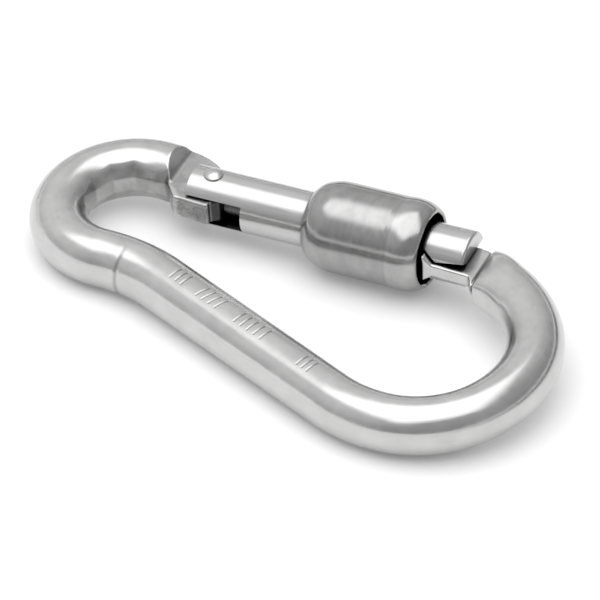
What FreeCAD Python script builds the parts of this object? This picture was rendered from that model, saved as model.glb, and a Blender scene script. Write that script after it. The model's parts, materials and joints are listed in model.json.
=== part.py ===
import FreeCAD, Part
import os
from math import atan2, cos, degrees, pi, radians, sin, sqrt

from FreeCAD import Vector

# Screw-lock snap hook, 80 x 8 mm size: bent and forged round bar, hinged gate, lock sleeve.
# Millimetres, Z up. The hook lies flat: its middle plane is z = 0 and the gate runs along +X
# from the hinge to the nose. Everything is drawn from the hinge rivet (x = 0, y = 0) with the
# gate on the X axis and the back of the hook at -Y, then moved so that the centre of the
# whole envelope is the origin.

# ---- driving dimensions -------------------------------------------------------------------
BAR_R = 4.0            # round bar of the hook
EYE_C = (-9.15, -7.35)  # centre of the small eye
EYE_R = 10.1           # centreline radius of the small eye
EYE_START = 41.0       # where the bar ends inside the gate, degrees round the eye
EYE_TURN = 229.35      # the eye runs on to the bottom of its circle
NECK_R = 24.4          # reverse bend between the eye and the back
NECK_TURN = -24.85
BACK_LENGTH = 34.3     # straight back
BEND = ((19.25, 24.5), (13.9, 55.0), (16.8, 65.0), (18.95, 74.0))  # big bend: radius, degrees

GROUND_SIDES = 12      # ground flats on the inner side of the eye
GROUND_R = 6.36        # distance of those flats from the eye's centre

TONGUE_T = 1.75        # half thickness of the forged hinge tongue
TONGUE_FOOT = -6.1     # x of the foot of the slope down to the tongue
TONGUE_RISE = 2.4      # rise and run of that slope
TONGUE_RUN = 1.3
CAM_X = 2.2            # flat end of the tongue that the plunger rests on
CAM_RATE = 1.5         # plunger travel, mm per radian of gate swing
SWING = 28.0           # gate travel, degrees

BLADE_T = 0.95         # half thickness of the nose blade
HEAD_T = 2.0           # half thickness of the nose head
HEAD_SWEEP = 32.85     # end of the head, radius round the rivet
SHOULDER_X = 40.65     # x of the notch where the blade meets the round bar
DOME_RUN = 6.6         # length of the rounded rise from the blade to the full bar

GATE_R = 3.9
GATE_X = (-3.0, 38.6)
GATE_TIP = 0.5         # rounding of the gate's free end
HINGE_SLOT_T = 2.1     # half width of the hinge slot
HINGE_SLOT_X = 5.4     # end of the slot on the inner side
HINGE_SLOT_TOP_X = 2.6  # end of the slot on the outer side
BORE_R = 2.03          # spring bore
BORE_END = 13.0
# hollow for the nose: x and half width, from the cavity for the head to the mouth
NOSE_SLOT = ((32.1, 2.45), (32.75, 2.45), (33.7, 1.77), (34.6, 1.12), (39.5, 1.12))
# lead-in on the inner side of that slot: start x and end x, each with its rise at y = LEAD_Y[1]
LEAD_IN = ((34.6, 0.1), (39.5, 1.15))
LEAD_Y = (-2.4, -4.2)
THREAD_X = (16.8, 27.3)  # threaded length
THREAD_PITCH = 1.0
THREAD_DEPTH = 0.32

RIVET_R = 1.3
RIVET_FIT = 0.05       # running clearance of the rivet in the tongue
RIVET_EDGE_Z = 4.02    # edge and crown of the domed heads
RIVET_CROWN_Z = 4.5

PLUNGER_R = 1.95
PLUNGER_X = (2.22, 6.2)
STEM_R = 1.0
STEM_END = 9.6

SPRING_R = 1.46        # mean radius of the coil
WIRE_R = 0.27
SPRING_TURNS = 8

SLEEVE_X = (14.7, 32.3)
SLEEVE_R = 6.35
SLEEVE_BORE_R = 3.97   # runs over the thread crests
SLEEVE_NECK_X = 25.6   # end of the threaded bore
SLEEVE_MOUTH_R = 5.0   # wide bore that passes over the nose

OUT = "parts"


def turn(p, heading, radius, angle):
    """Arc that starts at p along heading and turns by angle degrees: edge, end, new heading."""
    side = 1.0 if angle > 0 else -1.0
    h = radians(heading)
    cx = p[0] - side * radius * sin(h)
    cy = p[1] + side * radius * cos(h)
    pts = []
    for part in (0.0, 0.5, 1.0):
        a = h - side * pi / 2 + radians(angle) * part
        pts.append(Vector(cx + radius * cos(a), cy + radius * sin(a), 0))
    return Part.Arc(*pts).toShape(), (pts[2].x, pts[2].y), heading + angle


def flat(points, z):
    """Closed polygon face in the plane z."""
    ring = [Vector(x, y, z) for x, y in points]
    return Part.Face(Part.makePolygon(ring + ring[:1]))


def prism_y(points, y0, y1):
    """Prism along Y on a closed polygon of (x, z)."""
    ring = [Vector(x, y0, z) for x, z in points]
    return Part.Face(Part.makePolygon(ring + ring[:1])).extrude(Vector(0, y1 - y0, 0))


def turned(edges):
    """Solid turned about the X axis from a closed profile in the XY plane."""
    face = Part.Face(Part.Wire(edges))
    return face.revolve(Vector(0, 0, 0), Vector(1, 0, 0), 360)


def rod(x0, x1, r):
    return Part.makeCylinder(r, x1 - x0, Vector(x0, 0, 0), Vector(1, 0, 0))


def mirrored(shape):
    return shape.mirror(Vector(0, 0, 0), Vector(0, 0, 1))


# ---- hook ---------------------------------------------------------------------------------
def bar():
    """Round bar along the whole outline, from inside the hinge to the end of the nose."""
    a = radians(EYE_START)
    p = (EYE_C[0] + EYE_R * cos(a), EYE_C[1] + EYE_R * sin(a))
    heading = EYE_START + 90.0
    start = Vector(p[0], p[1], 0)
    along = Vector(cos(radians(heading)), sin(radians(heading)), 0)
    edges = []
    for radius, angle in ((EYE_R, EYE_TURN), (NECK_R, NECK_TURN)):
        edge, p, heading = turn(p, heading, radius, angle)
        edges.append(edge)
    h = radians(heading)
    q = (p[0] + BACK_LENGTH * cos(h), p[1] + BACK_LENGTH * sin(h))
    edges.append(Part.makeLine(Vector(p[0], p[1], 0), Vector(q[0], q[1], 0)))
    p = q
    for radius, angle in BEND:
        edge, p, heading = turn(p, heading, radius, angle)
        edges.append(edge)
    section = Part.Face(Part.Wire(Part.makeCircle(BAR_R, start, along)))
    return Part.Wire(edges).makePipe(section)


def ground_flats():
    """Many-sided prism that leaves the ground flats along the inner side of the eye."""
    step = 2 * pi / GROUND_SIDES
    reach = GROUND_R / cos(step / 2)
    ring = []
    for i in range(GROUND_SIDES):
        a = i * step
        ring.append((EYE_C[0] + reach * cos(a), EYE_C[1] + reach * sin(a)))
    prism = flat(ring, -BAR_R).extrude(Vector(0, 0, 2 * BAR_R))
    keep = Part.makeBox(14, 12, 10, Vector(EYE_C[0] - 7.5, EYE_C[1] - 2.0, -5))
    return prism.common(keep)


def tongue_cut():
    """Space above the tongue, with the slope up to the round bar."""
    foot = TONGUE_FOOT
    top = TONGUE_T + TONGUE_RISE
    pts = ((foot, TONGUE_T), (6, TONGUE_T), (6, top + 1), (foot - TONGUE_RUN, top + 1),
           (foot - TONGUE_RUN, top))
    return prism_y(pts, -8, 10)


def tongue():
    """Flat hinge tongue: outer arc, end flat and cam for the plunger, heel and inner edge."""
    def cam(t):
        reach = CAM_X + CAM_RATE * t
        return Vector(reach * cos(t) - CAM_RATE * sin(t), -reach * sin(t) - CAM_RATE * cos(t), 0)

    last = radians(SWING + 1.0)
    upper = Vector(1.2, 2.05, 0)
    back = Vector(-8.2, 6.1, 0)
    knee = Vector(-6.6, -1.2, 0)
    corner = Vector(-4.55, -3.85, 0)
    heel = (Vector(0.35, -4.2, 0), Vector(0.63, -4.08, 0), Vector(0.75, -3.8, 0))
    rise = Vector(0.75, -3.4, 0)
    end = Vector(CAM_X, 1.1, 0)
    edges = [
        Part.Arc(upper, Vector(-4.6, 5.87, 0), back).toShape(),
        Part.makeLine(back, knee),
        Part.makeLine(knee, corner),
        Part.makeLine(corner, heel[0]),
        Part.Arc(*heel).toShape(),
        Part.makeLine(heel[2], rise),
        Part.makeLine(rise, cam(last)),
        Part.Arc(cam(last), cam(last / 2), cam(0)).toShape(),
        Part.makeLine(cam(0), end),
        Part.makeLine(end, upper),
    ]
    face = Part.Face(Part.Wire(edges))
    plate = face.extrude(Vector(0, 0, 2 * TONGUE_T))
    plate.translate(Vector(0, 0, -TONGUE_T))
    rims = []
    for edge in plate.Edges:
        box = edge.BoundBox
        level = abs(abs(box.Center.z) - TONGUE_T) < 1e-6 and box.ZLength < 1e-6
        if level and box.YMax < -3.7 and box.XMax < 0.9:
            rims.append(edge)
    return plate.makeFillet(0.3, rims)


def nose_cut():
    """Space above the nose: head, slanted shoulder, blade, notch and rounded rise."""
    rise = BAR_R + 0.05 - BLADE_T
    radius = (DOME_RUN ** 2 + rise ** 2) / (2 * rise)
    foot = SHOULDER_X + 0.45
    top = foot + DOME_RUN
    mid = foot + DOME_RUN * 0.4
    mid_z = BAR_R + 0.05 - radius + sqrt(radius ** 2 - (top - mid) ** 2)
    y0 = -8.5
    pts = [(30, BAR_R + 2), (30, HEAD_T), (HEAD_SWEEP, HEAD_T), (34.2, BLADE_T),
           (SHOULDER_X, BLADE_T), (SHOULDER_X + 0.2, BLADE_T - 0.3), (foot, BLADE_T)]
    line = [Vector(x, y0, z) for x, z in pts]
    edges = [Part.makeLine(a, b) for a, b in zip(line[:-1], line[1:])]
    summit = Vector(top, y0, BAR_R + 0.05)
    lid = Vector(top, y0, BAR_R + 2)
    edges.append(Part.Arc(line[-1], Vector(mid, y0, mid_z), summit).toShape())
    edges.append(Part.makeLine(summit, lid))
    edges.append(Part.makeLine(lid, line[0]))
    return Part.Face(Part.Wire(edges)).extrude(Vector(0, 12, 0))


def nose_side_cut():
    """Inner side of the nose, cut back so that the lock sleeve passes over it."""
    pts = ((30, -4.15), (39.7, -4.65), (41.2, -6.9), (41.2, -9), (30, -9))
    return flat(pts, -6).extrude(Vector(0, 0, 12))


def hook():
    body = bar().cut(ground_flats())
    upper = tongue_cut()
    body = body.cut(upper).cut(mirrored(upper)).fuse(tongue())
    upper = nose_cut()
    body = body.cut(upper).cut(mirrored(upper)).cut(nose_side_cut())
    swept = Part.makeCylinder(HEAD_SWEEP, 12, Vector(0, 0, -6))
    nose_end = Part.makeBox(8, 12, 12, Vector(28, -9, -6))
    body = body.cut(swept.common(nose_end))
    hole = Part.makeCylinder(RIVET_R + RIVET_FIT, 12, Vector(0, 0, -6))
    return body.cut(hole).removeSplitter()


# ---- gate ---------------------------------------------------------------------------------
def thread_groove():
    """V groove of the screw thread, cut into the outside of the gate."""
    length = THREAD_X[1] - THREAD_X[0]
    helix = Part.makeHelix(THREAD_PITCH, length, GATE_R)
    deep = GATE_R - THREAD_DEPTH
    out = GATE_R + 0.25
    half = 0.42
    ring = [Vector(deep, 0, 0), Vector(out, 0, half), Vector(out, 0, -half)]
    section = Part.makePolygon(ring + ring[:1])
    groove = Part.Wire(helix).makePipeShell([section], True, True)
    groove.rotate(Vector(0, 0, 0), Vector(0, 1, 0), 90)
    groove.translate(Vector(THREAD_X[0], 0, 0))
    return groove


def lead_in():
    """Wedge that opens the nose slot towards the inner side and the tip of the gate."""
    width = NOSE_SLOT[-1][1]
    ends = []
    for x, rise in LEAD_IN:
        ring = [Vector(x, LEAD_Y[0], width - 0.02), Vector(x, LEAD_Y[1], width - 0.02),
                Vector(x, LEAD_Y[1], width + rise)]
        ends.append(Part.makePolygon(ring + ring[:1]))
    return Part.makeLoft(ends, True, True)


def gate():
    body = rod(GATE_X[0], GATE_X[1], GATE_R)
    ends = {edge.BoundBox.Center.x: edge for edge in body.Edges if edge.BoundBox.XLength < 1e-6}
    body = body.makeFillet(GATE_TIP, [ends[max(ends)]])
    slot = Part.makeBox(HINGE_SLOT_X + 4, 5, 2 * HINGE_SLOT_T, Vector(-4, -5, -HINGE_SLOT_T))
    slot_top = Part.makeBox(HINGE_SLOT_TOP_X + 4, 10, 2 * HINGE_SLOT_T,
                            Vector(-4, -5, -HINGE_SLOT_T))
    body = body.cut(slot).cut(slot_top).cut(rod(0, BORE_END, BORE_R))
    ring = [(x, t) for x, t in NOSE_SLOT] + [(x, -t) for x, t in reversed(NOSE_SLOT)]
    upper = lead_in()
    body = body.cut(prism_y(ring, -6, 6)).cut(upper).cut(mirrored(upper))
    hole = Part.makeCylinder(RIVET_R, 12, Vector(0, 0, -6))
    return body.cut(hole).cut(thread_groove())


def rivet():
    """Peened pin with a low dome on each side of the gate."""
    rise = RIVET_CROWN_Z - RIVET_EDGE_Z
    dome_r = (RIVET_R ** 2 + rise ** 2) / (2 * rise)
    dome = Part.makeSphere(dome_r, Vector(0, 0, RIVET_CROWN_Z - dome_r))
    low = RIVET_EDGE_Z - 0.5
    head = Part.makeCylinder(RIVET_R, RIVET_CROWN_Z - low, Vector(0, 0, low)).common(dome)
    half = Part.makeCylinder(RIVET_R, low).fuse(head)
    return half.fuse(mirrored(half)).removeSplitter()


def plunger():
    body = rod(PLUNGER_X[0], PLUNGER_X[1], PLUNGER_R).fuse(rod(PLUNGER_X[1], STEM_END, STEM_R))
    return body.removeSplitter()


def spring():
    x0 = PLUNGER_X[1] + WIRE_R + 0.03
    length = BORE_END - WIRE_R - 0.03 - x0
    helix = Part.makeHelix(length / SPRING_TURNS, length, SPRING_R)
    section = Part.Wire(Part.makeCircle(WIRE_R, Vector(SPRING_R, 0, 0), Vector(0, 1, 0)))
    coil = Part.Wire(helix).makePipeShell([section], True, True)
    coil.rotate(Vector(0, 0, 0), Vector(0, 1, 0), 90)
    coil.translate(Vector(x0, 0, 0))
    return coil


# ---- lock sleeve --------------------------------------------------------------------------
def sleeve():
    """Turned sleeve: rounded rear shoulder, barrel, slightly raised collar, wide mouth."""
    x0, x1 = SLEEVE_X

    def curve(points, first, last):
        line = Part.BSplineCurve()
        line.interpolate([Vector(x, r, 0) for x, r in points],
                         InitialTangent=first, FinalTangent=last)
        return line.toShape()

    rear = ((x0, 4.35), (x0 + 0.5, 5.03), (x0 + 1.3, 5.66), (x0 + 2.5, 6.1), (x0 + 4.6, SLEEVE_R))
    front = ((27.3, SLEEVE_R), (28.9, 6.47), (30.0, 6.4), (31.0, 6.17), (31.8, 5.8), (x1, 5.35))
    inner = ((x1, SLEEVE_MOUTH_R + 0.15), (x1 - 0.15, SLEEVE_MOUTH_R),
             (SLEEVE_NECK_X + 0.6, SLEEVE_MOUTH_R), (SLEEVE_NECK_X, SLEEVE_BORE_R + 0.35),
             (SLEEVE_NECK_X, SLEEVE_BORE_R), (x0 + 0.2, SLEEVE_BORE_R), (x0, SLEEVE_BORE_R + 0.2))
    back = [Vector(x, r, 0) for x, r in inner]
    chain = [Vector(front[-1][0], front[-1][1], 0)] + back + [Vector(rear[0][0], rear[0][1], 0)]
    edges = [curve(rear, Vector(0.35, 1, 0), Vector(1, 0, 0)),
             Part.makeLine(Vector(rear[-1][0], SLEEVE_R, 0), Vector(front[0][0], SLEEVE_R, 0)),
             curve(front, Vector(1, 0.04, 0), Vector(0.4, -1, 0))]
    edges += [Part.makeLine(a, b) for a, b in zip(chain[:-1], chain[1:])]
    return turned(edges)


# ---- write the pieces ---------------------------------------------------------------------
os.makedirs(OUT, exist_ok=True)
pieces = {
    "hook_body": hook(),
    "gate_barrel": gate(),
    "hinge_rivet": rivet(),
    "gate_spring": spring(),
    "spring_plunger": plunger(),
    "lock_sleeve": sleeve(),
}
span = FreeCAD.BoundBox()
for shape in pieces.values():
    span.add(shape.optimalBoundingBox(False, False))
for name, shape in pieces.items():
    shape.translate(Vector(-span.Center.x, -span.Center.y, 0))
    shape.exportStep(os.path.join(OUT, name + ".step"))
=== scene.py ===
import json
from math import atan2, cos, pi, radians, sin, sqrt

import bmesh
import bpy
import numpy as np
from mathutils import Matrix, Vector


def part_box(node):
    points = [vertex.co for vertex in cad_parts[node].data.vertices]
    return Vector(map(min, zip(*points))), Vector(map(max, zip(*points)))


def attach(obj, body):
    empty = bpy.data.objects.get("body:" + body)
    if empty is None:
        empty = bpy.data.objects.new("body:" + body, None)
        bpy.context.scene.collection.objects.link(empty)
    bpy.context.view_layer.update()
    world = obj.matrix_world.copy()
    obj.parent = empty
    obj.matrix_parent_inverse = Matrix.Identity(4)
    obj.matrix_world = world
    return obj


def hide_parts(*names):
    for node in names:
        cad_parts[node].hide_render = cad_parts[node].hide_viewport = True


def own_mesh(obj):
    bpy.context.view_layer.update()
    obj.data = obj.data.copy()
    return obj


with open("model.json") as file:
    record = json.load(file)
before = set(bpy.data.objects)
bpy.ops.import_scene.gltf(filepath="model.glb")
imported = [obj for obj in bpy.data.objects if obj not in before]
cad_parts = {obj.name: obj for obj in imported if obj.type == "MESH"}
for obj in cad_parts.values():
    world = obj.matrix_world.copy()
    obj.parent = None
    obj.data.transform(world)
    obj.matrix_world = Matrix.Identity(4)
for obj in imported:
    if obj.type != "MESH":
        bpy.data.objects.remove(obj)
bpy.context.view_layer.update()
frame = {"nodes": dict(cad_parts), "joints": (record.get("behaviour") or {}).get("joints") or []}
nodes = frame["nodes"]

# ---- camera: a long lens, looking down on the hook from in front of the nose ---------------
YAW = 0.46349
DIP = 0.69184
ROLL = -0.06802
AIM = Vector((0.002154, 0.000279, 0.0))
DISTANCE = 1.57416
LENS = 698.0

ahead = Vector((-sin(YAW) * cos(DIP), cos(YAW) * cos(DIP), -sin(DIP)))
level = Vector((cos(YAW), sin(YAW), 0.0))
upward = level.cross(ahead)
right = cos(ROLL) * level + sin(ROLL) * upward
above = -sin(ROLL) * level + cos(ROLL) * upward
camera_data = bpy.data.cameras.new("camera")
camera_data.lens = LENS
camera_data.clip_end = 20.0
camera = bpy.data.objects.new("camera", camera_data)
camera_turn = Matrix((right, above, -ahead)).transposed().to_4x4()
camera.matrix_world = Matrix.Translation(AIM - DISTANCE * ahead) @ camera_turn
bpy.context.scene.collection.objects.link(camera)
bpy.context.scene.camera = camera
bpy.context.scene.view_settings.view_transform = "Standard"

# ---- floor: the hook rests on its sleeve and on two places of the bar ----------------------
FLOOR_UP = Vector((0.03092, 0.08150, 0.99619))
FLOOR_LEVEL = -0.004985
FLOOR_HALF = 1.5


def new_object(name, mesh):
    piece = bpy.data.objects.new(name, mesh)
    bpy.context.scene.collection.objects.link(piece)
    return piece


def node_material(name):
    m = bpy.data.materials.new(name)
    m.use_nodes = True
    m.node_tree.nodes.clear()
    return m, m.node_tree


def floor_material():
    m, tree = node_material("table")
    out = tree.nodes.new("ShaderNodeOutputMaterial")
    shader = tree.nodes.new("ShaderNodeBsdfPrincipled")
    shader.inputs["Base Color"].default_value = (0.88, 0.88, 0.88, 1)
    shader.inputs["Roughness"].default_value = 0.7
    shader.inputs["Emission Color"].default_value = (1, 1, 1, 1)
    shader.inputs["Emission Strength"].default_value = 0.16
    tree.links.new(shader.outputs[0], out.inputs[0])
    return m


mesh = bpy.data.meshes.new("table")
corners = [(FLOOR_HALF * i, FLOOR_HALF * j, 0) for i, j in ((-1, -1), (1, -1), (1, 1), (-1, 1))]
mesh.from_pydata(corners, [], [(0, 1, 2, 3)])
table = new_object("table", mesh)
tilt = Vector((0, 0, 1)).rotation_difference(FLOOR_UP).to_matrix().to_4x4()
table.matrix_world = Matrix.Translation(FLOOR_UP * FLOOR_LEVEL) @ tilt
table.data.materials.append(floor_material())

# ---- forged hook: the CAD bar with every edge rolled over as forging and tumbling leave it ----
# The shape is a field in millimetres, drawn from the hinge rivet: negative inside the steel.
MM = 0.001
BAR_R = 4.0
EYE_C = (-9.15, -7.35)
EYE_R = 10.1
EYE_START = 41.0       # degrees; the bar's centreline sets out here and turns round the eye
EYE_TURN = 229.35
NECK = (24.4, -24.85)  # radius and degrees turned, here and in BEND
BACK_LENGTH = 34.3
BACK_START = radians(EYE_TURN) * EYE_R + radians(-NECK[1]) * NECK[0]
BEND = ((19.25, 24.5), (13.9, 55.0), (16.8, 65.0), (18.95, 74.0))
EYE_PART = (3.0, -11.0)    # the eye and tongue lie left of this x and above this y
NOSE_PART = (28.0, -12.0)  # the nose lies right of this x and above this y
ROLLED = 0.3           # radius that forging leaves on the large edges
GROUND_SIDES = 12      # flats ground round the inside of the eye
GROUND_R = 6.36
GROUND_ENDS = (7.5, 2.0)  # they stop this far left of the eye's centre, and this far below it
GROUND_DRIFT = 0.09    # the hand-ground flats are not quite regular, in angle and in depth
GROUND_WANDER = 0.09
FLARE_Z = 1.1          # above this height the ground faces flare outwards
FLARE_RATE = 0.42
FLARE_FADE = -6.0      # the flare runs out below this y, round the eye's foot
FLARE_FADE_RATE = 0.5
TONGUE_T = 1.75        # half thickness of the hinge tongue
TONGUE_GRADE = 1.3 / 2.4  # run for each millimetre that the slope rises
TONGUE_FOOT = -6.1
TONGUE_SPACE_Y = -8.0  # the space that bares the tongue reaches down to here
TONGUE_HOLE_R = 1.35
SLOPE_EDGE = 0.18      # radius on the edges of the slope
CAM_X = 2.2
CAM_RATE = 1.5         # the cam moves the plunger this many millimetres for each radian
SWING = radians(29.0)
HEAD_T = 2.0           # half thickness of the nose's head, which the gate's slot closes over
HEAD_SWEEP = 32.85     # its end is an arc round the rivet
BLADE_T = 0.95         # half thickness of the blade behind it
BLADE_EDGE = 0.22      # radius on the blade's edges
HEAD_EDGE = 0.2        # and on the head's curved end
HEAD_END = 36.0
SHOULDER_X = 40.65
NOTCH_X = 41.3         # far wall of the notch behind the blade
RISE_RUN = 5.6         # the bar swells from a low oval to its full round over this length
RISE_START = 2.2       # half height of that oval
RISE_POWER = 4.0       # its squareness, which falls to 2 (a circle) at the full bar
RISE_MIN_Y = -16.0     # it swells only above this y, on the nose side of the bend
VOXEL = 0.2            # the hook is resampled this finely before it is settled
CREASE = (44.6, 0.3, 0.09)  # forging crease after the eye: station, half width, depth
CREASE_LEAN = 0.12     # it crosses the bar slightly askew
STAMP_DEPTH = 0.09
STAMP_R = 0.17         # round-nosed stamp strokes
STAMP_TALL = 1.15      # half height of the stamped row
STAMP_EDGE = 0.04
BACK_TOP_Z = 2.5       # the stamped strokes are all above this height
# plain tally strokes along the back, groups of equal bars: first station, bars, pitch, lean
STAMP_GROUPS = ((3.0, 3, 1.1, 0.0), (8.6, 4, 1.25, 0.18), (16.2, 5, 1.3, 0.0), (28.9, 3, 1.0, 0.0))
STRUCK_X = (-5.5, 0.8)     # the tongue's inner edge, pitted by struck marks
STRUCK_Y = (-6.0, -2.6)
GROUND_REACH = 22.0        # all ground faces lie within this distance of the rivet
rivet_at = Vector(frame["joints"][0]["pos_m"]) / MM


def rounded_max(a, b, r):
    """Intersection of two solids whose shared edge is rolled over with radius r."""
    u = np.maximum(r + a, 0)
    v = np.maximum(r + b, 0)
    return np.minimum(-r, np.maximum(a, b)) + np.hypot(u, v)


def outline():
    """Centreline of the bar as arcs (centre, radius, side, first angle, sweep) and one line."""
    a = radians(EYE_START)
    p = Vector((EYE_C[0] + EYE_R * cos(a), EYE_C[1] + EYE_R * sin(a)))
    heading = a + pi / 2
    runs = []
    for radius, degrees in ((EYE_R, EYE_TURN), NECK, (None, BACK_LENGTH)) + BEND:
        along = Vector((cos(heading), sin(heading)))
        if radius is None:
            runs.append(("line", p.copy(), along, degrees))
            p = p + along * degrees
            continue
        side = 1 if degrees > 0 else -1
        centre = p + side * radius * Vector((-along.y, along.x))
        first = heading - side * pi / 2
        sweep = radians(abs(degrees))
        runs.append(("arc", centre, radius, side, first, sweep))
        heading += side * sweep
        last = first + side * sweep
        p = centre + radius * Vector((cos(last), sin(last)))
    return runs


RUNS = outline()


def along_bar(x, y):
    """Where points lie on the bar: signed distance from the centreline (positive towards the
    inside of the hook), station along it, and distance in front of its start."""
    best = np.full(x.shape, 1e3)
    station = np.zeros(x.shape)
    before = np.full(x.shape, -1e3)
    travelled = 0.0
    for number, run in enumerate(RUNS):
        if run[0] == "line":
            dx, dy = x - run[1].x, y - run[1].y
            t = dx * run[2].x + dy * run[2].y
            d = dy * run[2].x - dx * run[2].y
            length = run[3]
            within = (t > -0.5) & (t < length + 0.5)
        else:
            centre, radius, side, first, sweep = run[1:]
            dx, dy = x - centre.x, y - centre.y
            turned = (side * (np.arctan2(dy, dx) - first) + 0.6) % (2 * pi) - 0.6
            t = turned * radius
            d = side * (radius - np.hypot(dx, dy))
            length = sweep * radius
            early = 0.5 if number == 0 else 0.02
            within = (turned > -early) & (turned < sweep + 0.02)
            if number == 0:
                before = np.where(within & (np.abs(d) < BAR_R + 1), -t, before)
        nearer = within & (np.abs(d) < np.abs(best))
        best = np.where(nearer, d, best)
        station = np.where(nearer, travelled + t, station)
        travelled += length
    return best, station, before


def inside_ring(px, py, ring):
    """Signed distance to a closed polygon, negative inside."""
    d2 = np.full(px.shape, 1e9)
    odd = np.zeros(px.shape, bool)
    for (ax, ay), (bx, by) in zip(ring, ring[1:] + ring[:1]):
        ex, ey = bx - ax, by - ay
        wx, wy = px - ax, py - ay
        t = np.clip((wx * ex + wy * ey) / (ex * ex + ey * ey), 0, 1)
        d2 = np.minimum(d2, (wx - t * ex) ** 2 + (wy - t * ey) ** 2)
        if ay != by:
            odd ^= ((ay > py) != (by > py)) & (px < ex * (py - ay) / ey + ax)
    return np.where(odd, -np.sqrt(d2), np.sqrt(d2))


def arc_points(a, b, c, count):
    """Points along the circle through a, b and c, from a to c."""
    a, b, c = Vector(a), Vector(b), Vector(c)
    d = 2 * (a.x * (b.y - c.y) + b.x * (c.y - a.y) + c.x * (a.y - b.y))
    s = [v.length_squared for v in (a, b, c)]
    o = Vector(((s[0] * (b.y - c.y) + s[1] * (c.y - a.y) + s[2] * (a.y - b.y)) / d,
                (s[0] * (c.x - b.x) + s[1] * (a.x - c.x) + s[2] * (b.x - a.x)) / d))
    u, w = a - o, c - o
    swing = atan2(u.cross(w), u.dot(w))
    ring = []
    for i in range(count + 1):
        t = swing * i / count
        ring.append((o.x + u.x * cos(t) - u.y * sin(t), o.y + u.x * sin(t) + u.y * cos(t)))
    return ring


def tongue_ring():
    """Outline of the flat hinge tongue: outer arc, heel, and the cam that moves the plunger."""
    ring = arc_points((1.2, 2.05), (-4.6, 5.87), (-8.2, 6.1), 12)
    ring += [(-6.6, -1.2), (-4.55, -3.85)]
    ring += arc_points((0.35, -4.2), (0.63, -4.08), (0.75, -3.8), 4)
    ring.append((0.75, -3.4))
    for i in range(7):
        t = SWING * (1 - i / 6)
        reach = CAM_X + CAM_RATE * t
        ring.append((reach * cos(t) - CAM_RATE * sin(t), -reach * sin(t) - CAM_RATE * cos(t)))
    return ring + [(CAM_X, 1.1)]


TONGUE = tongue_ring()
# side and plan outlines of the steel cut away to leave the nose's blade
NOSE_TOP = [(29, 9), (29, HEAD_T), (HEAD_SWEEP, HEAD_T), (34.2, BLADE_T), (SHOULDER_X, BLADE_T),
            (SHOULDER_X + 0.25, 0.4), (NOTCH_X - 0.1, 0.4), (NOTCH_X + 0.25, 9)]
NOSE_SIDE = [(29, -4.1), (39.7, -4.65), (41.2, -6.9), (41.2, -9.5), (29, -9.5)]
NOSE_SIDE_END = -9.0


def on_back_top(station, z):
    return (station > BACK_START) & (station < BACK_START + BACK_LENGTH) & (z > BACK_TOP_Z)


def crease_shape(station, inner):
    """1 in the middle of the forging crease, falling to 0 beside it."""
    return np.exp(-((station - CREASE[0] + CREASE_LEAN * inner) / CREASE[1]) ** 2)


def stamp(body, inner, station, z):
    """Sinks the round-nosed strokes into the top of the straight back."""
    height = BAR_R + STAMP_R - STAMP_DEPTH
    side = np.clip(inner, -STAMP_TALL, STAMP_TALL)
    lift = np.sqrt(height ** 2 - side ** 2)
    for first, count, pitch, lean in STAMP_GROUPS:
        for i in range(count):
            centre = first + i * pitch + lean * side
            away = np.sqrt((station - centre) ** 2 + (inner - side) ** 2 + (z - lift) ** 2)
            body = rounded_max(body, STAMP_R - away, STAMP_EDGE)
    return body


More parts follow.
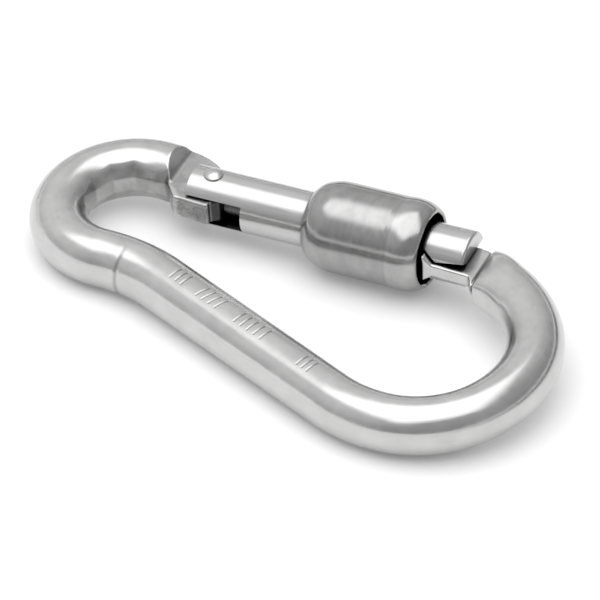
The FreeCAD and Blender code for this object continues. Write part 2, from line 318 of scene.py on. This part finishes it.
def steel_field(p):
    """Signed distance to the hook's surface, near enough to settle points on it."""
    x, y, z = p[:, 0], p[:, 1], np.abs(p[:, 2])
    n, station, before = along_bar(x, y)
    inner = n
    n = np.abs(n)
    # swelling from the notch to the full bar, only on the nose side
    w = np.clip((x - NOTCH_X) / RISE_RUN, 0, 1)
    w = np.where((x > NOTCH_X) & (y > RISE_MIN_Y), w, 1.0)
    high = BAR_R - (BAR_R - RISE_START) * (1 - w) ** 2
    power = 2 + (RISE_POWER - 2) * (1 - w) ** 1.5
    u = np.maximum(n / BAR_R, 1e-6)
    v = np.maximum(z / high, 1e-6)
    total = u ** power + v ** power
    size = total ** (1 / power)
    slope = np.hypot(u ** (power - 1) / BAR_R, v ** (power - 1) / high) * size / total
    body = (size - 1) / np.maximum(slope, 1e-3)
    body = np.maximum(body, before)
    # the crease shows on the outer side only
    body += CREASE[2] * crease_shape(station, inner) * np.clip(-0.05 - 1.3 * inner / BAR_R, 0, 1)
    stamped = on_back_top(station, p[:, 2])
    body[stamped] = stamp(body[stamped], inner[stamped], station[stamped] - BACK_START, p[stamped, 2])
    eye = (x < EYE_PART[0]) & (y > EYE_PART[1])
    ex, ey, ez = x[eye], y[eye], z[eye]
    flats = np.full(ex.shape, -1e3)
    for i in range(GROUND_SIDES):
        a = 2 * pi * i / GROUND_SIDES + GROUND_DRIFT * sin(5.1 * i)
        cut = (ex - EYE_C[0]) * cos(a) + (ey - EYE_C[1]) * sin(a) - GROUND_WANDER * sin(3.7 * i)
        flats = np.maximum(flats, cut)
    flats -= GROUND_R
    flare_from = FLARE_Z + FLARE_FADE_RATE * np.maximum(FLARE_FADE - ey, 0)
    flared = (flats - FLARE_RATE * (ez - flare_from)) / sqrt(1 + FLARE_RATE ** 2)
    ends = np.maximum(EYE_C[0] - GROUND_ENDS[0] - ex, EYE_C[1] - GROUND_ENDS[1] - ey)
    flats = np.maximum(np.minimum(flats, flared), ends)
    part = rounded_max(body[eye], -flats, ROLLED)
    ahead_of_slope = TONGUE_FOOT - ex - TONGUE_GRADE * (ez - TONGUE_T)
    space = rounded_max(TONGUE_T - ez, ahead_of_slope / sqrt(1 + TONGUE_GRADE ** 2), ROLLED)
    space = np.maximum(space, TONGUE_SPACE_Y - ey)
    part = rounded_max(part, -space, SLOPE_EDGE)
    plate = rounded_max(inside_ring(ex, ey, TONGUE), ez - TONGUE_T, ROLLED)
    part = np.minimum(part, plate)
    part = np.maximum(part, TONGUE_HOLE_R - np.hypot(ex, ey))
    body[eye] = part
    nose = (x > NOSE_PART[0]) & (y > NOSE_PART[1])
    nx, ny, nz = x[nose], y[nose], z[nose]
    side = np.maximum(inside_ring(nx, ny, NOSE_SIDE), NOSE_SIDE_END - ny)
    part = rounded_max(body[nose], -side, ROLLED)
    part = rounded_max(part, -inside_ring(nx, nz, NOSE_TOP), BLADE_EDGE)
    swept = np.maximum(np.hypot(nx, ny) - HEAD_SWEEP, nx - HEAD_END)
    part = rounded_max(part, -swept, HEAD_EDGE)
    body[nose] = part
    return body


def settle(points, rounds=7):
    """Moves points onto the surface of the steel field."""
    step = 0.01
    longest = 0.12
    flattest = 0.25
    for _ in range(rounds):
        value = steel_field(points)
        slope = np.empty_like(points)
        for axis in range(3):
            shift = np.zeros(3)
            shift[axis] = step
            slope[:, axis] = (steel_field(points + shift) - steel_field(points - shift)) / (2 * step)
        move = -value / np.maximum((slope ** 2).sum(1), flattest)
        points += slope * np.clip(move, -longest, longest)[:, None]
    return points


def read_points(data):
    flat = np.empty(len(data.vertices) * 3)
    data.vertices.foreach_get("co", flat)
    return flat.reshape(-1, 3)


def refine_stamped_row(data, hinge):
    """Divides the faces under the stamped row, so that the strokes are real hollows."""
    work = bmesh.new()
    work.from_mesh(data)
    centres = np.array([face.calc_center_median() for face in work.faces]) - hinge
    inner, station, _ = along_bar(centres[:, 0], centres[:, 1])
    station -= BACK_START
    first = STAMP_GROUPS[0][0] - 1
    last = STAMP_GROUPS[-1]
    end = last[0] + last[1] * last[2] + 1
    chosen = (station > first) & (station < end) & (np.abs(inner) < STAMP_TALL + 0.5)
    chosen &= centres[:, 2] > 3
    edges = set()
    for face, pick in zip(work.faces, chosen):
        if pick:
            edges.update(face.edges)
    bmesh.ops.subdivide_edges(work, edges=list(edges), cuts=2, use_grid_fill=True)
    bmesh.ops.triangulate(work, faces=[face for face in work.faces if len(face.verts) > 4])
    work.to_mesh(data)
    work.free()


def store(data, name, values):
    layer = data.attributes.new(name, "FLOAT", "POINT")
    layer.data.foreach_set("value", values.astype(np.float32))


def finish_marks(data, points):
    """What the steel's material follows: the bar's run and girth, the ground or struck faces, and
    where shade is painted into its colour.
    """
    x, y, z = points.T
    inner, station, _ = along_bar(x, y)
    store(data, "run", station)
    store(data, "girth", np.arctan2(z, -inner) * BAR_R)
    inside = BAR_R - np.hypot(inner, z)
    store(data, "ground", np.clip((inside - 0.05) / 0.1, 0, 1) * (np.hypot(x, y) < GROUND_REACH))
    face = (y < STRUCK_Y[1]) & (y > STRUCK_Y[0]) & (x > STRUCK_X[0]) & (x < STRUCK_X[1])
    store(data, "struck", np.where(face, np.clip((TONGUE_T - 0.25 - np.abs(z)) / 0.3, 0, 1), 0))
    # painted shade: the tongue's end face lies in the gate's slot and is darkened, as are the stamped
    # strokes and the crease's outer side
    slot_end = np.clip((x - 0.7) / 0.25, 0, 1) * (np.hypot(x, y) < 5)
    stroke = np.clip(inside / (0.6 * STAMP_DEPTH), 0, 1)
    stroke = np.where(on_back_top(station, z), stroke, 0)
    seam = np.where(inner < 0, 0.8 * crease_shape(station, inner) * np.clip(-inner / 2, 0, 1), 0)
    store(data, "painted_recess_shade", np.maximum.reduce([0.85 * slot_end, 0.42 * stroke, 0.5 * seam]))


def forged_hook():
    """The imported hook, resampled finely and settled onto the steel field."""
    hinge = np.array(rivet_at)
    source = nodes["hook_body"].data.copy()
    source.transform(Matrix.Scale(1 / MM, 4))
    raw = new_object("hook_resampled", source)
    remesh = raw.modifiers.new("remesh", "REMESH")
    remesh.mode = "VOXEL"
    remesh.voxel_size = VOXEL
    graph = bpy.context.evaluated_depsgraph_get()
    data = bpy.data.meshes.new_from_object(raw.evaluated_get(graph))
    bpy.data.objects.remove(raw)
    refine_stamped_row(data, hinge)
    points = settle(read_points(data) - hinge)
    data.vertices.foreach_set("co", ((points + hinge) * MM).ravel())
    data.update()
    data.shade_smooth()
    finish_marks(data, points)
    piece = new_object("forged_hook", data)
    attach(piece, "hook")
    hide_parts("hook_body")
    return piece


def coil_spring():
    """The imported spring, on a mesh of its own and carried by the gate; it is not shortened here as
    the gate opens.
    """
    piece = new_object("coil_spring", nodes["gate_spring"].data.copy())
    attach(piece, "gate")
    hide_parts("gate_spring")
    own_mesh(piece)
    return piece


# ---- light: a soft-edged square box overhead, turned on its corner, in a pale grey studio ------
BOX_AT = (0.03, -0.05, 1.0)
BOX_SIDE = 1.44
BOX_TURN = radians(43.0)
BOX_POWER = 9.2
BOX_RAMP = 6.5         # its light fades out towards the edges over 1 / BOX_RAMP of its side
BOX_EDGE = 0.2         # share of the light that is left at the very edge
BRIGHT_SIDE = (-0.75, 0.3, 0.6)  # the studio's walls are palest on this side
WALL_LEVEL = 0.47
WALL_GLOW = 0.5        # what the palest side adds
WALL_FOOT = (0.10, 0.5, 0.7)  # between these heights the walls dim downwards to this share
GAP_TOP = 0.05         # a dark gap shows between the table and the walls, up to this height
GAP_LEVEL = 0.1
RAIL_LEVEL = 1.3       # a pale rail runs along the foot of the walls
RAIL_AT = 0.085


def math_node(tree, operation, a, b=None, clamp=False):
    """Math node on sockets or numbers; returns its output."""
    node = tree.nodes.new("ShaderNodeMath")
    node.operation = operation
    node.use_clamp = clamp
    for socket, value in zip(node.inputs, (a, b)):
        if value is None:
            continue
        if isinstance(value, (int, float)):
            socket.default_value = value
        else:
            tree.links.new(value, socket)
    return node.outputs[0]


def spread(tree, value, low, high, out_low, out_high):
    """Maps low..high to out_low..out_high, clamped."""
    node = tree.nodes.new("ShaderNodeMapRange")
    for socket, number in zip(list(node.inputs)[1:5], (low, high, out_low, out_high)):
        socket.default_value = number
    tree.links.new(value, node.inputs[0])
    return node.outputs[0]


def softbox():
    """Square lamp whose light fades towards its edges."""
    box = bpy.data.lights.new("softbox", "AREA")
    box.shape = "SQUARE"
    box.size = BOX_SIDE
    box.energy = BOX_POWER
    box.use_nodes = True
    tree = box.node_tree
    place = tree.nodes.new("ShaderNodeNewGeometry")
    split = tree.nodes.new("ShaderNodeSeparateXYZ")
    tree.links.new(place.outputs["Parametric"], split.inputs[0])
    reach = None
    for axis in (0, 1):
        u = split.outputs[axis]
        rest = math_node(tree, "SUBTRACT", 1.0, u)
        near = math_node(tree, "MINIMUM", u, rest)
        reach = near if reach is None else math_node(tree, "MINIMUM", reach, near)
    soft = math_node(tree, "MULTIPLY", reach, BOX_RAMP, clamp=True)
    strength = math_node(tree, "ADD", math_node(tree, "MULTIPLY", soft, 1 - BOX_EDGE), BOX_EDGE)
    tree.links.new(strength, tree.nodes["Emission"].inputs["Strength"])
    lamp = bpy.data.objects.new("softbox", box)
    lamp.location = BOX_AT
    lamp.rotation_euler.z = BOX_TURN
    bpy.context.scene.collection.objects.link(lamp)


def studio():
    """Pale grey room: one side paler, dimmer at the foot, a rail and a dark gap at the table."""
    world = bpy.data.worlds.new("studio")
    bpy.context.scene.world = world
    world.use_nodes = True
    tree = world.node_tree
    coord = tree.nodes.new("ShaderNodeTexCoord")
    facing = tree.nodes.new("ShaderNodeVectorMath")
    facing.operation = "DOT_PRODUCT"
    facing.inputs[1].default_value = BRIGHT_SIDE
    tree.links.new(coord.outputs["Generated"], facing.inputs[0])
    lit = math_node(tree, "MAXIMUM", facing.outputs["Value"], 0.0)
    level = math_node(tree, "ADD", math_node(tree, "MULTIPLY", lit, WALL_GLOW), WALL_LEVEL)
    split = tree.nodes.new("ShaderNodeSeparateXYZ")
    tree.links.new(coord.outputs["Generated"], split.inputs[0])
    up = split.outputs[2]
    wall = spread(tree, up, WALL_FOOT[0], WALL_FOOT[1], WALL_FOOT[2], 1.0)
    level = math_node(tree, "MULTIPLY", level, wall)
    off_rail = math_node(tree, "ABSOLUTE", math_node(tree, "SUBTRACT", up, RAIL_AT))
    rail = spread(tree, off_rail, 0.02, 0.035, RAIL_LEVEL, 0.0)
    level = math_node(tree, "ADD", level, rail)
    gap = spread(tree, up, GAP_TOP - 0.01, GAP_TOP + 0.01, GAP_LEVEL, 1.0)
    level = math_node(tree, "MULTIPLY", level, gap)
    tree.links.new(level, tree.nodes["Background"].inputs["Strength"])
    tree.nodes["Background"].inputs["Color"].default_value = (1, 1, 1, 1)


softbox()
studio()


# ---- metals ------------------------------------------------------------------------------------
def node_of(tree, kind, **values):
    node = tree.nodes.new(kind)
    for name, value in values.items():
        node.inputs[name.replace("_", " ")].default_value = value
    return node


def noise(tree, vector, scale, detail=2.0, rough=0.5):
    node = node_of(tree, "ShaderNodeTexNoise", Scale=scale, Detail=detail, Roughness=rough)
    tree.links.new(vector, node.inputs["Vector"])
    return node.outputs["Fac"]


def stretched(tree, vector, factors):
    """Coordinates in millimetres, scaled differently along each axis."""
    node = tree.nodes.new("ShaderNodeVectorMath")
    node.operation = "MULTIPLY"
    tree.links.new(vector, node.inputs[0])
    node.inputs[1].default_value = factors
    return node.outputs[0]


def millimetres(tree):
    coord = tree.nodes.new("ShaderNodeTexCoord")
    return stretched(tree, coord.outputs["Object"], (1 / MM, 1 / MM, 1 / MM))


def bar_coordinates(tree):
    """Run along the bar and girth round it, from the forged mesh, in millimetres."""
    join = tree.nodes.new("ShaderNodeCombineXYZ")
    for axis, name in enumerate(("run", "girth")):
        layer = tree.nodes.new("ShaderNodeAttribute")
        layer.attribute_name = name
        tree.links.new(layer.outputs["Fac"], join.inputs[axis])
    return join.outputs[0]


def layer_value(tree, name):
    layer = tree.nodes.new("ShaderNodeAttribute")
    layer.attribute_name = name
    return layer.outputs["Fac"]


def painted_crevice_shade(tree, reach):
    """Painted shade: 0 in narrow gaps, where shade falls, to 1 on open faces."""
    node = node_of(tree, "ShaderNodeAmbientOcclusion", Distance=reach)
    node.samples = 8
    return node.outputs["AO"]


def finish_steel(m, tree, level, rough, height, bump_mm, tint=(1.0, 1.0, 0.995)):
    out = tree.nodes.new("ShaderNodeOutputMaterial")
    shader = tree.nodes.new("ShaderNodeBsdfPrincipled")
    shader.inputs["Metallic"].default_value = 1.0
    tone = tree.nodes.new("ShaderNodeVectorMath")
    tone.operation = "SCALE"
    tone.inputs[0].default_value = tint
    tree.links.new(level, tone.inputs["Scale"])
    tree.links.new(tone.outputs[0], shader.inputs["Base Color"])
    tree.links.new(rough, shader.inputs["Roughness"])
    bump = node_of(tree, "ShaderNodeBump", Strength=1.0, Distance=bump_mm * MM)
    tree.links.new(height, bump.inputs["Height"])
    tree.links.new(bump.outputs[0], shader.inputs["Normal"])
    tree.links.new(shader.outputs[0], out.inputs[0])
    return m


def polished_bar():
    """Tumbled and buffed bar: fine scratches along it, cloudy wear, coarser ground faces, and painted
    shade in its gaps, on the tongue's end, in the stamped strokes and along the crease.
    """
    m, tree = node_material("polished_bar")
    bar = bar_coordinates(tree)
    solid = millimetres(tree)
    lines = noise(tree, stretched(tree, bar, (0.35, 5.0, 1.0)), 1.0, 4.0, 0.65)
    cloud = noise(tree, solid, 0.28, 3.0, 0.6)
    grain = noise(tree, solid, 5.0, 3.0, 0.6)
    ground = layer_value(tree, "ground")
    struck = layer_value(tree, "struck")
    pits = spread(tree, noise(tree, solid, 2.6, 3.0, 0.6), 0.38, 0.50, 1.0, 0.0)
    pitted = math_node(tree, "MULTIPLY", pits, struck)
    level = spread(tree, cloud, 0.35, 0.7, 0.53, 0.59)
    scratch = spread(tree, lines, 0.56, 0.72, 0.0, 0.07)
    level = math_node(tree, "SUBTRACT", level, scratch)
    level = math_node(tree, "SUBTRACT", level, math_node(tree, "MULTIPLY", ground, 0.12))
    smut = spread(tree, noise(tree, solid, 0.35, 2.0, 0.6), 0.45, 0.65, 0.0, 0.10)
    level = math_node(tree, "SUBTRACT", level, math_node(tree, "MULTIPLY", ground, smut))
    level = math_node(tree, "SUBTRACT", level, math_node(tree, "MULTIPLY", struck, 0.06))
    level = math_node(tree, "SUBTRACT", level, math_node(tree, "MULTIPLY", pitted, 0.10))
    # painted shade: darker on the tongue's end in the slot, in the stamped strokes and along the
    # crease
    unshaded_share = math_node(tree, "SUBTRACT", 1.0, layer_value(tree, "painted_recess_shade"))
    level = math_node(tree, "MULTIPLY", level, unshaded_share)
    # painted shade in narrow gaps
    crevice_shading = spread(tree, painted_crevice_shade(tree, 0.0012), 0.25, 0.8, 0.25, 1.0)
    level = math_node(tree, "MULTIPLY", level, crevice_shading)
    worn = math_node(tree, "ADD", cloud, math_node(tree, "MULTIPLY", lines, 0.5))
    rough = spread(tree, worn, 0.5, 1.0, 0.17, 0.27)
    rough = math_node(tree, "ADD", rough, math_node(tree, "MULTIPLY", ground, 0.13))
    rough = math_node(tree, "ADD", rough, math_node(tree, "MULTIPLY", struck, 0.12))
    coarse = math_node(tree, "ADD", math_node(tree, "MULTIPLY", ground, 0.8), 0.2)
    grained = math_node(tree, "MULTIPLY", grain, coarse)
    height = math_node(tree, "ADD", math_node(tree, "MULTIPLY", lines, 0.35), grained)
    height = math_node(tree, "SUBTRACT", height, math_node(tree, "MULTIPLY", pitted, 1.6))
    return finish_steel(m, tree, level, rough, height, 0.012)


def polished_gate():
    """Drawn and buffed gate: fine lines along it, and painted shade that darkens its bore and slots.
    """
    m, tree = node_material("polished_gate")
    solid = millimetres(tree)
    lines = noise(tree, stretched(tree, solid, (0.25, 5.0, 5.0)), 1.0, 4.0, 0.65)
    cloud = noise(tree, solid, 0.4, 2.0, 0.55)
    level = spread(tree, lines, 0.35, 0.7, 0.57, 0.50)
    # painted shade: the bore and slots go nearly black
    crevice_shading = spread(tree, painted_crevice_shade(tree, 0.003), 0.45, 0.85, 0.06, 1.0)
    level = math_node(tree, "MULTIPLY", level, crevice_shading)
    rough = spread(tree, cloud, 0.35, 0.65, 0.15, 0.23)
    return finish_steel(m, tree, level, rough, lines, 0.006)


def turned_steel(name, low, high, rough_low, rough_high, shade):
    """Small turned or drawn part: faint rings, and painted shade that darkens it where it sits in a
    recess.
    """
    m, tree = node_material(name)
    solid = millimetres(tree)
    rings = noise(tree, stretched(tree, solid, (6.0, 0.8, 0.8)), 1.0, 3.0, 0.6)
    cloud = noise(tree, solid, 0.9, 3.0, 0.6)
    level = spread(tree, rings, 0.35, 0.65, low, high)
    # painted shade in recesses
    crevice_shading = spread(tree, painted_crevice_shade(tree, 0.0015), 0.4, 0.85, shade, 1.0)
    level = math_node(tree, "MULTIPLY", level, crevice_shading)
    rough = spread(tree, cloud, 0.35, 0.65, rough_low, rough_high)
    return finish_steel(m, tree, level, rough, rings, 0.006)


COLLAR_AT = 13.2       # the buffed collar begins this far along the sleeve, mm


def satin_sleeve():
    """Satin barrel with turning lines round it, and a brighter buffed collar at the mouth."""
    m, tree = node_material("satin_sleeve")
    solid = millimetres(tree)
    x0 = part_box("lock_sleeve")[0].x / MM
    across = tree.nodes.new("ShaderNodeSeparateXYZ")
    tree.links.new(solid, across.inputs[0])
    along = math_node(tree, "SUBTRACT", across.outputs[0], x0)
    collar = spread(tree, along, COLLAR_AT - 0.3, COLLAR_AT + 0.3, 0.0, 1.0)
    offset = math_node(tree, "ABSOLUTE", math_node(tree, "SUBTRACT", along, COLLAR_AT))
    line = spread(tree, offset, 0.05, 0.35, 1.0, 0.0)
    rings = noise(tree, stretched(tree, solid, (7.0, 0.25, 0.25)), 1.0, 4.0, 0.7)
    cloud = noise(tree, stretched(tree, solid, (0.6, 0.35, 0.35)), 1.0, 4.0, 0.6)
    level = spread(tree, cloud, 0.35, 0.65, 0.32, 0.38)
    level = math_node(tree, "ADD", level, math_node(tree, "MULTIPLY", collar, 0.05))
    level = math_node(tree, "SUBTRACT", level, math_node(tree, "MULTIPLY", line, 0.03))
    # painted shade: the bore and gaps are darkened
    crevice_shading = spread(tree, painted_crevice_shade(tree, 0.003), 0.35, 0.8, 0.55, 1.0)
    level = math_node(tree, "MULTIPLY", level, crevice_shading)
    rough = spread(tree, cloud, 0.35, 0.65, 0.16, 0.23)
    rough = math_node(tree, "SUBTRACT", rough, math_node(tree, "MULTIPLY", collar, 0.02))
    height = math_node(tree, "SUBTRACT", rings, math_node(tree, "MULTIPLY", line, 0.8))
    return finish_steel(m, tree, level, rough, height, 0.0045)


looks = {
    "hook_body": polished_bar(),
    "gate_barrel": polished_gate(),
    "hinge_rivet": turned_steel("rivet_steel", 0.50, 0.57, 0.22, 0.32, 0.35),
    "gate_spring": turned_steel("spring_wire", 0.16, 0.24, 0.25, 0.4, 0.3),
    # the plunger's very dark level is painted shade: it sits in the shade of the gate's bore
    "spring_plunger": turned_steel("plunger_steel", 0.10, 0.16, 0.3, 0.45, 0.2),
    "lock_sleeve": satin_sleeve(),
}
shown = dict(nodes)
shown["hook_body"] = forged_hook()
shown["gate_spring"] = coil_spring()
for name, look in looks.items():
    piece = shown[name]
    piece.data.materials.clear()
    piece.data.materials.append(look)
